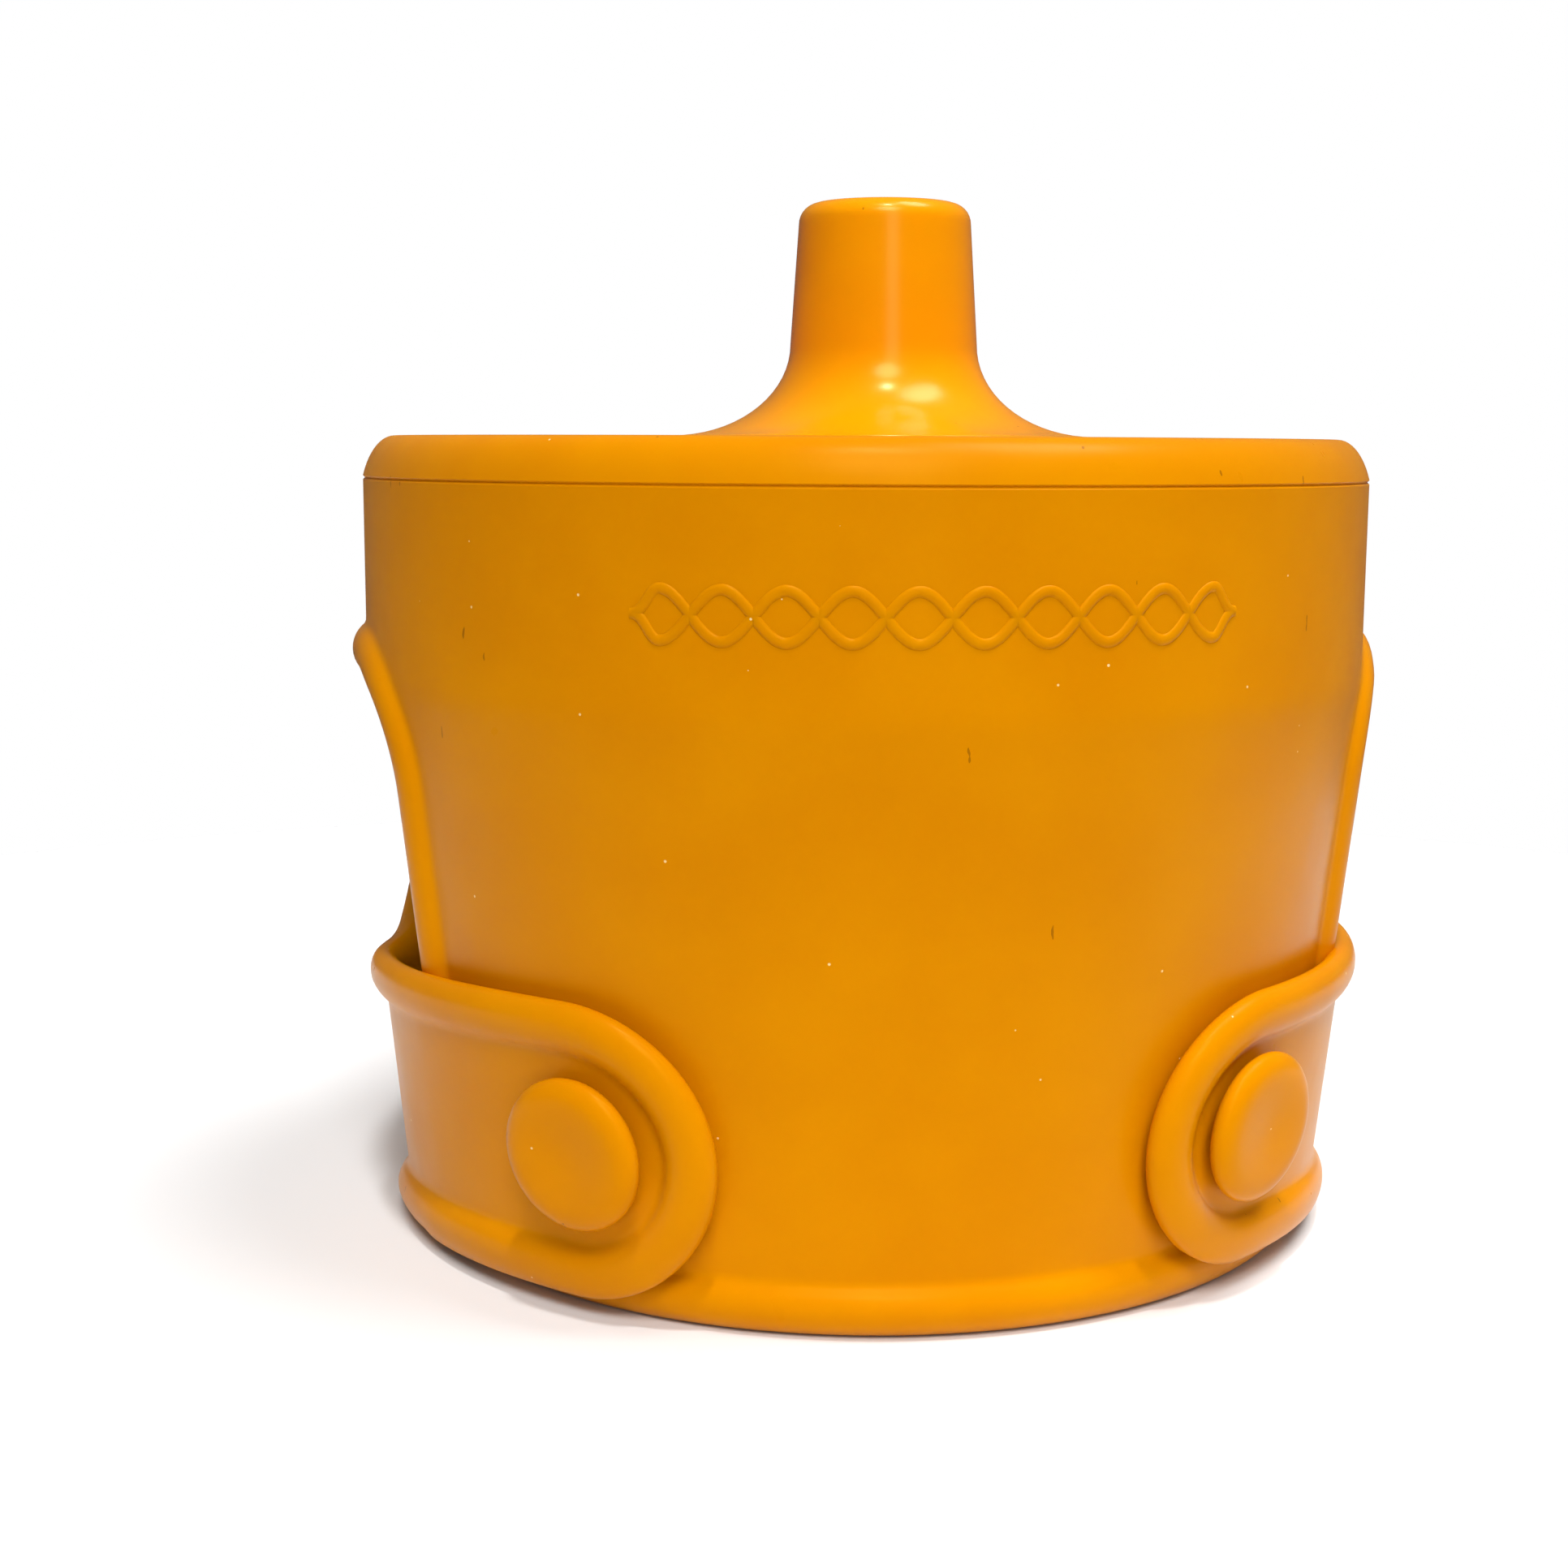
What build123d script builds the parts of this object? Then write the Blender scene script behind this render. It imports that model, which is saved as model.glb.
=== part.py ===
from build123d import *
import os
from math import asin, atan, cos, degrees, radians, sin

# Soft moulded strap-on holder cap, in millimetres.
# A full ring and a flat crown carry a nozzle on top. An apron hangs down the front, and a T-shaped
# tongue hangs down the back. The arms of the T wrap round the sides, over the apron's lower half,
# and each one buttons onto a mushroom stud on the apron.
# Frame: +Z up, front towards -Y, origin on the standing plane, on the ring's axis.
# Angles are measured round the axis from the front, positive towards +X.

# Cup
ring_radius = 35.0  # outside of the ring under the crown
rim_radius = 31.05  # outside of the wall at the bottom rim, before its bead
cup_height = 54.4  # standing plane to crown face
wall = 2.0
crown_thickness = 2.4
crown_rounding = 2.3  # rounding from the crown face to the wall
bead_width = 3.3
bead_rise = 0.95  # how far a bead stands out of the wall or the strap

# Side windows, between the apron and the tongue
window_top = 38.2
window_front = 12.2  # from the cup's side line to the apron's edge
window_back = 12.2  # from the cup's side line to the tongue's edge
window_corner = 7.0
shoulder_corner = 11.2  # where the tongue's edge sweeps into the arm's upper edge
apron_corner = 6.0  # rounding of the apron's bottom corners

# Strap arms
strap_middle = 10.4  # height of the arms' middle line
strap_width = 18.4
strap_thickness = 1.2
strap_gap = 0.3  # air between an arm and what it lies on
hinge_angle = 90.0  # where an arm leaves the tongue's shoulder
shoulder_lift = 0.6  # how far an arm's outside stands out of the wall at its root

# Studs
stud_angle = 38.3
stud_height = 11.0
lobe_angle = 39.4  # middle of an arm's round end
shank_radius = 2.5
head_radius = 4.65
head_thickness = 1.8
head_rounding = 0.9
head_dish = 0.3
flange_radius = 4.2
flange_thickness = 1.0
shank_clearance = 0.05  # shank in the apron's hole
eyelet_clearance = 0.4  # shank in the arm's eyelet

# Nozzle
nozzle_height = 16.0  # above the crown face
nozzle_tip_radius = 5.9
nozzle_stem_radius = 6.48
nozzle_rounding = 1.4
nozzle_wall = 2.0
flare_radius = 6.4
lip_thickness = 0.3  # thickness of the flare's edge on the crown
neck_radius = 8.0  # groove that the crown's hole grips
nozzle_flange_radius = 11.0
nozzle_flange_thickness = 1.4
neck_clearance = 0.05
nozzle_offset = 1.3  # nozzle axis from the ring's axis, towards +X

lean = (ring_radius - rim_radius) / window_top
lean_angle = degrees(atan(lean))
strap_low = strap_middle - strap_width / 2
strap_high = strap_middle + strap_width / 2
apron_angle = 90 - degrees(asin(window_front / (ring_radius - lean * (window_top - strap_high))))
hinge_y = -ring_radius * cos(radians(hinge_angle))
crown_inside = cup_height - crown_thickness


def wall_radius(z):
    """Outside radius of the wall: straight in the ring, leaning in below the windows' tops."""
    return ring_radius - lean * max(0.0, window_top - z)


def upright(angle):
    """Half plane through the axis at an angle from the front: local x outwards, local y up."""
    a = radians(angle)
    return Plane(origin=(0, 0, 0), x_dir=(sin(a), -cos(a), 0), z_dir=(-cos(a), -sin(a), 0))


def band(inner, outer, low, high, start=0.0, end=360.0):
    """Ring that follows the wall, from inner to outer of its outside face, between two heights."""
    levels = [low, window_top, high] if low < window_top < high else [low, high]
    outside = [(wall_radius(z) + outer, z) for z in levels]
    inside = [(wall_radius(z) + inner, z) for z in reversed(levels)]
    face = make_face(Polyline(*outside, *inside, close=True))
    return revolve(upright(start) * face, Axis.Z, end - start)


def on_wall(angle, z):
    """Plane on the wall's outside face, its z axis along the outward normal."""
    a = radians(angle)
    tilt = radians(lean_angle)
    normal = (sin(a) * cos(tilt), -cos(a) * cos(tilt), -sin(tilt))
    place = (wall_radius(z) * sin(a), -wall_radius(z) * cos(a), z)
    return Plane(origin=place, z_dir=normal)


def rod(plane, radius, low, high):
    """Cylinder along a plane's z axis, between two heights over it."""
    return plane.location * Pos(0, 0, (low + high) / 2) * Cylinder(radius, high - low)


def window_outline():
    """Window seen from the side (y, z): a rectangle with its three free corners rounded."""
    corners = Polyline(
        (-window_front, strap_high),
        (-window_front, window_top),
        (window_back, window_top),
        (window_back, strap_high),
        close=True,
    )
    face = make_face(corners)
    opening = window_top - strap_high
    top = [v for v in face.vertices() if v.Y > strap_high + opening / 2]
    face = fillet(top, min(window_corner, 0.39 * opening))
    low_back = [v for v in face.vertices() if v.Y < strap_high + opening / 100 and v.X > 0]
    return fillet(low_back, min(shoulder_corner, 0.6 * opening))


def side_solid(face):
    """Solid right through both sides of the cup, from an outline in (y, z)."""
    return extrude(Plane.YZ * face, 2 * ring_radius, both=True)


def rectangle(y_low, z_low, y_high, z_high):
    """Rectangle between two corners in (y, z)."""
    size = Rectangle(y_high - y_low, z_high - z_low)
    return Pos((y_low + y_high) / 2, (z_low + z_high) / 2) * size


def make_cup():
    """Crown, ring, apron and T-shaped tongue in one moulding, with its beads and holes."""
    profile = Polyline(
        (0, cup_height),
        (ring_radius, cup_height),
        (ring_radius, window_top),
        (rim_radius, 0),
        (rim_radius - wall, 0),
        (ring_radius - wall, window_top),
        (ring_radius - wall, crown_inside),
        (0, crown_inside),
        close=True,
    )
    section = make_face(profile)
    edge = [v for v in section.vertices() if v.X > ring_radius - 0.1 and v.Y > cup_height - 0.1]
    section = fillet(edge, crown_rounding)
    cup = revolve(upright(0) * section, Axis.Z)

    window = window_outline()
    frame = offset(window, bead_width) - window
    above_strap = rectangle(-ring_radius, strap_high + strap_gap, ring_radius, cup_height)
    behind_hinge = rectangle(hinge_y, 0, ring_radius, cup_height)
    frame = frame & (above_strap + behind_hinge)
    shell = band(-wall / 2, bead_rise, strap_middle, window_top + bead_width)
    cup += shell & side_solid(frame)
    cup += band(-wall / 2, bead_rise, 0, bead_width)

    below_window = rectangle(-window_front, -bead_width, hinge_y, window_top - window_corner)
    corner = rectangle(-window_front - apron_corner, -bead_width, -window_front, apron_corner)
    corner -= Pos(-window_front - apron_corner, apron_corner) * Circle(apron_corner)
    cup -= side_solid(window + below_window + corner)

    cup -= Pos(nozzle_offset, 0, cup_height) * Cylinder(neck_radius, 4 * crown_thickness)
    for side in (-1, 1):
        seat = on_wall(side * stud_angle, stud_height)
        cup -= rod(seat, shank_radius + shank_clearance, -2 * wall, 2 * wall)
    return cup


def make_nozzle():
    """Hollow nozzle with a closed tip, a flare on the crown, a neck in its hole and a flange inside."""
    tip = cup_height + nozzle_height
    flare_top = cup_height + lip_thickness + flare_radius
    lip_edge = nozzle_stem_radius + flare_radius
    waist = neck_radius - neck_clearance
    bore = nozzle_stem_radius - nozzle_wall
    outline = Polyline(
        (0, tip),
        (nozzle_tip_radius, tip),
        (nozzle_stem_radius, flare_top),
    )
    lip_top = cup_height + lip_thickness
    flare = RadiusArc((nozzle_stem_radius, flare_top), (lip_edge, lip_top), -flare_radius)
    rest = Polyline(
        (lip_edge, lip_top),
        (lip_edge, cup_height),
        (waist, cup_height),
        (waist, crown_inside),
        (nozzle_flange_radius, crown_inside),
        (nozzle_flange_radius, crown_inside - nozzle_flange_thickness),
        (bore, crown_inside - nozzle_flange_thickness),
        (nozzle_tip_radius - nozzle_wall, tip - nozzle_wall),
        (0, tip - nozzle_wall),
        (0, tip),
    )
    section = make_face(Curve() + [outline, flare, rest])
    corner = [v for v in section.vertices() if v.X > nozzle_tip_radius - 0.1 and v.Y > tip - 0.1]
    section = fillet(corner, nozzle_rounding)
    return Pos(nozzle_offset, 0, 0) * revolve(Plane.XZ * section, Axis.Z)


def make_arm(side):
    """Strap arm: a band round the side with beaded edges, ending in a round lobe with an eyelet."""
    seat = on_wall(lobe_angle, strap_middle)
    lobe_radius = strap_width / 2
    lobe_reach = 2 * lobe_angle
    outside = strap_gap + strap_thickness
    proud = outside + bead_rise

    # On the apron the arm keeps its gap from the wall.
    def on_apron(outer, low, high):
        return band(strap_gap, outer, low, high, lobe_angle, apron_angle)

    # Past the apron's edge its outside sinks towards the wall, on a circle set towards the front.
    fall = cos(radians(apron_angle)) - cos(radians(hinge_angle))
    shift = (outside - shoulder_lift) / fall
    root = outside - shift * cos(radians(apron_angle))
    gap_angle = degrees(strap_gap / ring_radius)

    def past_apron(outer, low, high):
        ring = Pos(0, -shift, 0) * band(root - strap_thickness, root + outer - outside, low, high)
        wedge = band(-ring_radius / 2, ring_radius, low - 1, high + 1, apron_angle, hinge_angle - gap_angle)
        return ring & wedge

    arm = None
    edges = [(strap_low, strap_low + bead_width), (strap_high - bead_width, strap_high)]
    for part in (on_apron, past_apron):
        piece = part(outside, strap_low, strap_high)
        for low, high in edges:
            piece += part(proud, low, high)
        arm = piece if arm is None else arm + piece

    tall = (strap_low - 2 * bead_width, strap_high + 2 * bead_width)
    lobe = band(strap_gap, outside, *tall, 0, lobe_reach) & rod(seat, lobe_radius, -wall, 4 * wall)
    hoop = rod(seat, lobe_radius, -wall, 4 * wall) - rod(seat, lobe_radius - bead_width, -wall, 4 * wall)
    lobe += band(strap_gap, proud, *tall, 0, lobe_angle) & hoop
    arm += lobe

    arm -= band(-wall, bead_rise + strap_gap, -bead_width, bead_width + strap_gap)
    arm -= rod(on_wall(stud_angle, stud_height), shank_radius + eyelet_clearance, -wall, 4 * wall)
    return arm if side > 0 else mirror(arm, Plane.YZ)


def make_stud(side):
    """Mushroom stud: a flange inside the apron, a shank, and a domed head with a shallow dish."""
    seat = on_wall(stud_angle, stud_height)
    under = strap_gap + strap_thickness + strap_gap
    top = under + head_thickness
    flange = band(-wall - flange_thickness, -wall, 0, 2 * stud_height, 0, 2 * stud_angle)
    flange = flange & rod(seat, flange_radius, -3 * wall, wall)
    shank = rod(seat, shank_radius, -wall - flange_thickness / 2, under + head_thickness / 2)
    crest = head_radius - 2 * head_rounding
    face = make_face(
        Polyline(
            (0, under),
            (head_radius, under),
            (head_radius, top),
            (crest, top),
            (0, top - head_dish),
            close=True,
        )
    )
    corner = [v for v in face.vertices() if v.X > head_radius - 0.1 and v.Y > top - 0.1]
    face = fillet(corner, head_rounding)
    head = seat.location * revolve(Plane.XZ * face, Axis.Z)
    stud = flange + shank + head
    return stud if side > 0 else mirror(stud, Plane.YZ)


os.makedirs("parts", exist_ok=True)
export_step(make_cup(), "parts/cup_body.step")
export_step(make_nozzle(), "parts/nozzle.step")
for name, side in (("left", -1), ("right", 1)):
    export_step(make_arm(side), f"parts/strap_arm_{name}.step")
    export_step(make_stud(side), f"parts/stud_{name}.step")
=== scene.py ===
import bmesh
import bpy
import numpy as np
from mathutils import Matrix, Vector


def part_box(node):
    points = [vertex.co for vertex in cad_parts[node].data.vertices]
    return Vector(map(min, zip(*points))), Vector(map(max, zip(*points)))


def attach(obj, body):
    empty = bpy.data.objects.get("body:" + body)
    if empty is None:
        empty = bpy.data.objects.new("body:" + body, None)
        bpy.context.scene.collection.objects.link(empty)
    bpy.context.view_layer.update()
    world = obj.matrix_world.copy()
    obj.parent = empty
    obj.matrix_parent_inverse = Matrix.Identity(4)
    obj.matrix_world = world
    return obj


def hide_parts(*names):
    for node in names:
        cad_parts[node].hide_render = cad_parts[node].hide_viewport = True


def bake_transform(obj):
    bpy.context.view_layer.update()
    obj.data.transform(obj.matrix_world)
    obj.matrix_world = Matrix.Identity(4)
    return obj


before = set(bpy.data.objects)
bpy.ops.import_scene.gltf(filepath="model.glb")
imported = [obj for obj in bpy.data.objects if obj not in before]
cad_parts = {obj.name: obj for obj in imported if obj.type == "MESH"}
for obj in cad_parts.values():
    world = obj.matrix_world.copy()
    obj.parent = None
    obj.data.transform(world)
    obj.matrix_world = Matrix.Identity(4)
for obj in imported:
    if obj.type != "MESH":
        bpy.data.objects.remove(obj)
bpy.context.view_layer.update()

bl_info = {
    "name": "Strap-on holder cap",
    "version": (1, 0, 0),
    "blender": (4, 5, 0),
    "location": "View3D > Sidebar > Holder Cap",
    "description": "Builds the looks of a soft silicone strap-on holder cap round its CAD frame",
    "category": "Object",
}

# All lengths are in metres. Angles round the cup run from the front (-Y), positive towards +X.
MM = 0.001
CUP_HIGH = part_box("cup_body")[1]
NOZZLE_LOW, NOZZLE_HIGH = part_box("nozzle")
NOZZLE_MIDDLE = (NOZZLE_LOW.x + NOZZLE_HIGH.x) / 2


def size(name, default, note):
    """A length that a user can change, shown in the scene's unit."""
    return bpy.props.FloatProperty(name=name, description=note, default=default, unit="LENGTH", precision=5)


def turn(name, degrees, note):
    """An angle that a user can change."""
    angle = np.radians(degrees)
    return bpy.props.FloatProperty(name=name, description=note, default=angle, subtype="ANGLE")


def share(name, default, note):
    """A plain number from 0 to 1 that a user can change."""
    return bpy.props.FloatProperty(name=name, description=note, default=default, min=0.0, max=1.0)


def linear(hex_colour):
    """An sRGB hex colour as linear RGBA."""
    values = np.array([int(hex_colour[i : i + 2], 16) for i in (0, 2, 4)]) / 255
    low, high = values / 12.92, ((values + 0.055) / 1.055) ** 2.4
    return (*np.where(values <= 0.04045, low, high), 1.0)


def brightness(name, default, note):
    """A lamp's strength that a user can change."""
    return bpy.props.FloatProperty(name=name, description=note, default=default, min=0.0)


def tint(name, hex_colour, note):
    """A colour that a user can change."""
    return bpy.props.FloatVectorProperty(
        name=name, description=note, default=linear(hex_colour), size=4, subtype="COLOR", min=0.0, max=1.0
    )


class HolderCapCup(bpy.types.PropertyGroup):
    """Sizes of the cup: ring, crown, apron, tongue and side windows."""

    ring_radius: size("Ring radius", CUP_HIGH.y, "Outside of the ring under the crown")
    rim_radius: size("Rim radius", 31.05 * MM, "Outside of the wall at the bottom rim")
    height: size("Height", CUP_HIGH.z, "From the standing plane to the crown's face")
    wall: size("Wall", 2.0 * MM, "Thickness of the ring, apron and tongue")
    crown: size("Crown", 2.4 * MM, "Thickness of the crown")
    edge_depth: size("Crown edge depth", 2.7 * MM, "How far the crown's rounding comes down the wall")
    edge_reach: size("Crown edge reach", 2.2 * MM, "How far the crown's rounding reaches inwards")
    groove: size("Crown groove", 0.14 * MM, "Depth of the fine groove under the crown's rounding")
    window_top: size("Window top", 38.2 * MM, "Height of the windows' tops, where the wall leans in")
    window_side: size("Window side", 12.2 * MM, "From the cup's side line to a window's front or back edge")
    window_corner: size("Window corner", 7.0 * MM, "Rounding of a window's upper corners")
    sweep: size("Shoulder sweep", 12.3 * MM, "Rounding from the tongue's edge into the strap arm")
    apron_corner: size("Apron corner", 6.0 * MM, "Rounding of the apron's bottom corners")
    bead_width: size("Bead width", 3.3 * MM, "Width of the rolled bead along every free edge")
    bead_rise: size("Bead rise", CUP_HIGH.x - CUP_HIGH.y, "How far a bead stands out of its wall")
    cove: size("Bead cove", 0.5 * MM, "Reach of the small hollow where a bead meets its wall")


class HolderCapStrap(bpy.types.PropertyGroup):
    """Sizes of the strap arms and the studs that they button onto."""

    seam: size("Seam", 5.0 * MM, "How far behind the side line an arm leaves the tongue's shoulder")
    gap: size("Gap", 0.3 * MM, "Air between an arm and the apron")
    thickness: size("Thickness", 1.2 * MM, "Thickness of an arm's floor")
    climb: size("Climb", 9.5 * MM, "Length over which an arm rises from the shoulder onto the apron")
    left_low: size("Left lobe low", 1.2 * MM, "Lowest edge of the left arm's lobe")
    left_high: size("Left lobe high", 20.4 * MM, "Highest edge of the left arm's lobe")
    left_pull: size("Left pull", 0.0, "How far the left arm is pulled up at the side")
    left_tip: turn("Left lobe tip", 22.8, "Angle of the left lobe's tip from the front")
    right_low: size("Right lobe low", 2.0 * MM, "Lowest edge of the right arm's lobe")
    right_high: size("Right lobe high", 20.2 * MM, "Highest edge of the right arm's lobe")
    right_pull: size("Right pull", 0.95 * MM, "How far the right arm is pulled up at the side")
    right_tip: turn("Right lobe tip", 23.8, "Angle of the right lobe's tip from the front")
    stud_angle: turn("Stud angle", 38.2, "Angle of the studs from the front")
    left_stud: size("Left stud height", 11.3 * MM, "Height of the left stud's middle")
    right_stud: size("Right stud height", 11.8 * MM, "Height of the right stud's middle")
    head_radius: size("Stud head radius", 4.9 * MM, "Radius of a stud's head")
    head_top: size("Stud head top", 3.6 * MM, "How far a stud's head stands out of the apron")
    shank_radius: size("Shank radius", 2.5 * MM, "Radius of a stud's shank")
    eyelet_radius: size("Eyelet radius", 2.9 * MM, "Radius of the hole in a lobe")


class HolderCapNozzle(bpy.types.PropertyGroup):
    """Sizes of the nozzle on the crown."""

    offset: size("Offset", NOZZLE_MIDDLE + 0.1 * MM, "The nozzle's axis from the ring's axis")
    top: size("Top", NOZZLE_HIGH.z + 0.2 * MM, "Height of the nozzle's tip")
    tip_radius: size("Tip radius", 6.03 * MM, "Radius of the nozzle at its tip")
    stem_radius: size("Stem radius", 6.58 * MM, "Radius of the nozzle above its flare")
    flare: size("Flare height", 6.4 * MM, "Height of the hollow flare above the crown")
    flare_reach: size("Flare reach", 8.4 * MM, "How far the flare spreads over the crown")
    rounding: size("Rounding", 1.4 * MM, "Rounding of the tip's edge")
    wall: size("Wall", 2.0 * MM, "Thickness of the nozzle")
    neck_radius: size("Neck radius", 8.0 * MM, "Radius of the crown's hole round the neck")
    flange_radius: size("Flange radius", 11.0 * MM, "Radius of the flange under the crown")
    flange: size("Flange", 1.4 * MM, "Thickness of the flange under the crown")


class HolderCapFinish(bpy.types.PropertyGroup):
    """Colours and gloss of the silicone."""

    cup_colour: tint("Cup silicone", "cf8200", "Amber of the cup's silicone")
    cup_deep: tint("Cup silicone, deep", "cb7d00", "The same silicone where its pigment is denser")
    strap_colour: tint("Strap silicone", "d08300", "Amber of the strap arms")
    strap_deep: tint("Strap silicone, deep", "cc7e00", "The arms' silicone where its pigment is denser")
    nozzle_colour: tint("Nozzle silicone", "ec9b00", "Orange of the glossier nozzle")
    nozzle_deep: tint("Nozzle silicone, deep", "e79600", "The nozzle's silicone where its pigment is denser")
    dust: tint("Dust", "ffe9a8", "Pale dust that clings to the silicone")
    lint: tint("Lint", "6a3a06", "Dark lint that clings to the silicone")
    cup_roughness: share("Cup roughness", 0.3, "Satin of the cup and the arms")
    nozzle_roughness: share("Nozzle roughness", 0.24, "Gloss of the nozzle")


class HolderCapStage(bpy.types.PropertyGroup):
    """Strengths of the studio light."""

    floor: size("Floor", 170 * MM, "Radius of the pale floor")
    ambient: share("Ambient", 0.14, "How strongly the backdrop lights the cap")
    key: brightness("Key", 1.9, "Strength of the key softbox")
    right: brightness("Right", 1.8, "Strength of the softbox on the right")
    crown: brightness("Crown", 1.3, "Strength of the lamp over the crown")
    front: brightness("Front", 0.95, "Power in watts of the upright softbox in front")


PI = np.pi
PROFILE_STEPS = 9  # points on each rounded stretch of a bead's profile
STEP = 0.8 * MM  # spacing of points along an edge
LOBE_STEP = STEP / 1.5  # the same round a lobe, where the turn is tighter
BULGE = np.radians(62)  # half angle of the low arc over a bead
WELD = 0.002 * MM  # points closer than this are one
SLIVER = 0.001 * MM  # edges shorter than this go
FLOOR_ROWS = 18  # rows of faces across a band's floor and along its seam
RING_ROWS = 12  # rows of faces up the ring and across a lobe
SEAL = 0.02 * MM  # how far a face sinks into what it lies on


def smooth(t):
    """Smooth step: 0 below 0, 1 above 1, level at both ends."""
    t = np.clip(t, 0, 1)
    return t * t * (3 - 2 * t)


def wall_radius(cup, z):
    """Outside radius of the wall: straight in the ring, leaning in evenly below the windows' tops."""
    lean = (cup.ring_radius - cup.rim_radius) / cup.window_top
    return cup.ring_radius - lean * np.maximum(0.0, cup.window_top - z)


def on_wall(cup, angle, z, lift):
    """Points at an angle and height, lifted outwards from the wall's outside face."""
    radius = wall_radius(cup, z) + lift
    return np.stack([radius * np.sin(angle), -radius * np.cos(angle), z + 0 * radius], -1)


def side_angle(cup, y, z):
    """Angle round the cup of the wall's point at a given y and height."""
    return np.arccos(-y / wall_radius(cup, z))


def line(start, end, step=STEP):
    """Points along a straight run, both ends included, about a step apart."""
    start, end = np.array(start), np.array(end)
    count = max(2, int(round(np.linalg.norm(end - start) / step)) + 1)
    return start + (end - start) * np.linspace(0, 1, count)[:, None]


def arc(centre, radius, start, end, step=STEP):
    """Points along an arc between two angles, in degrees, both ends included."""
    count = max(7, int(round(abs(np.radians(end - start)) * radius / step)) + 1)
    a = np.radians(np.linspace(start, end, count))
    return np.array(centre) + radius * np.stack([np.cos(a), np.sin(a)], -1)


def chain(*runs):
    """Joins runs end to end, dropping each run's first point after the first run.
    Also returns the index at which each run ends."""
    joined = np.concatenate([runs[0], *[run[1:] for run in runs[1:]]])
    ends = np.cumsum([len(runs[0]) - 1, *[len(run) - 1 for run in runs[1:]]])
    return joined, ends


class SidePath:
    """Middle line of the beads on one side of the cup, as angle and height, from the rim's front
    middle: rim, apron corner, round the window, shoulder sweep, strap arm out round its lobe and
    back, and the rim again to the back middle."""

    def __init__(self, cup, strap, low, high, tip, pull):
        half = cup.bead_width / 2
        edge = cup.window_side + half
        corner = cup.window_corner + half
        inner_y = cup.window_side - cup.window_corner
        corner_z = cup.window_top - cup.window_corner
        turn_y = cup.window_side + cup.apron_corner
        sweep = cup.sweep + half
        sweep_y = cup.window_side - cup.sweep
        stop = -np.degrees(np.arccos((strap.seam - sweep_y) / sweep))

        body, ends = chain(
            arc((-turn_y, cup.apron_corner), cup.apron_corner - half, -90, 0),
            line((-edge, cup.apron_corner), (-edge, corner_z)),
            arc((-inner_y, corner_z), corner, 180, 90),
            line((-inner_y, cup.window_top + half), (inner_y, cup.window_top + half)),
            arc((inner_y, corner_z), corner, 90, 0),
            arc((sweep_y, corner_z), sweep, 0, stop),
        )
        body[:, 0] = side_angle(cup, body[:, 0], body[:, 1])
        rim = line((0, half), (body[0, 0], half), STEP / cup.rim_radius)

        radius = (high - low) / 2 - half
        middle = (high + low) / 2
        round_wall = wall_radius(cup, middle)
        lobe_angle = tip + (radius + half) / round_wall
        seam_top = body[-1]
        seam_low = np.array([side_angle(cup, strap.seam, half), half])
        count = int(round((seam_top[0] - lobe_angle) * round_wall / STEP)) + 1
        t = np.linspace(0, 1, count)
        along = seam_top[0] + (lobe_angle - seam_top[0]) * t
        y = -wall_radius(cup, seam_top[1]) * np.cos(along)
        reach = 0.9 * sweep  # keeps the root below away from the sweep's end
        level, pulled = 0.12, 0.2  # shares of the arm that run level, and that the pull takes
        swept = corner_z - np.sqrt(sweep**2 - np.clip(y - sweep_y, -reach, reach) ** 2)
        climb = smooth((t - level) / (1 - level))
        sag = np.where(y > sweep_y, swept, corner_z - sweep)
        sag += pull * smooth(t / pulled) * (1 - climb)
        upper = np.stack([along, sag + climb * (middle + radius - (corner_z - sweep))], -1)
        lobe = arc((0, 0), radius, 90, 270, LOBE_STEP)
        lobe = np.stack([lobe_angle + lobe[:, 0] / round_wall, middle + lobe[:, 1]], -1)
        along = lobe_angle + (seam_low[0] - lobe_angle) * t
        lower = np.stack([along, middle - radius + smooth(t) * (half - middle + radius)], -1)
        back = line(seam_low, (PI, half), STEP / cup.rim_radius)

        self.points, self.ends = chain(rim, body, upper, lobe, lower, back)
        radii = wall_radius(cup, self.points[:, 1])
        run = self.points * np.stack([radii, np.ones(len(radii))], -1)
        tangent = np.gradient(run, axis=0)
        tangent /= np.linalg.norm(tangent, axis=1)[:, None]
        self.free = np.stack([tangent[:, 1], -tangent[:, 0]], -1)  # towards the free edge
        body_start = self.ends[0]
        self.apron_mid = body_start + ends[0] // 2
        self.front_mid = body_start + (ends[1] + ends[2]) // 2
        self.back_mid = body_start + (ends[3] + ends[4]) // 2
        self.seam_top = self.ends[1]
        self.seam_low = self.ends[4]
        self.lobe_start = self.ends[2]

    def beside(self, cup, across, index=slice(None)):
        """The path's points moved sideways, positive towards the free edge."""
        points, free = self.points[index], self.free[index]
        across = np.asarray(across)[..., None]
        radius = wall_radius(cup, points[..., 1])
        scale = np.stack([1 / radius, np.ones_like(radius)], -1)
        return points + across * free * scale


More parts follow.
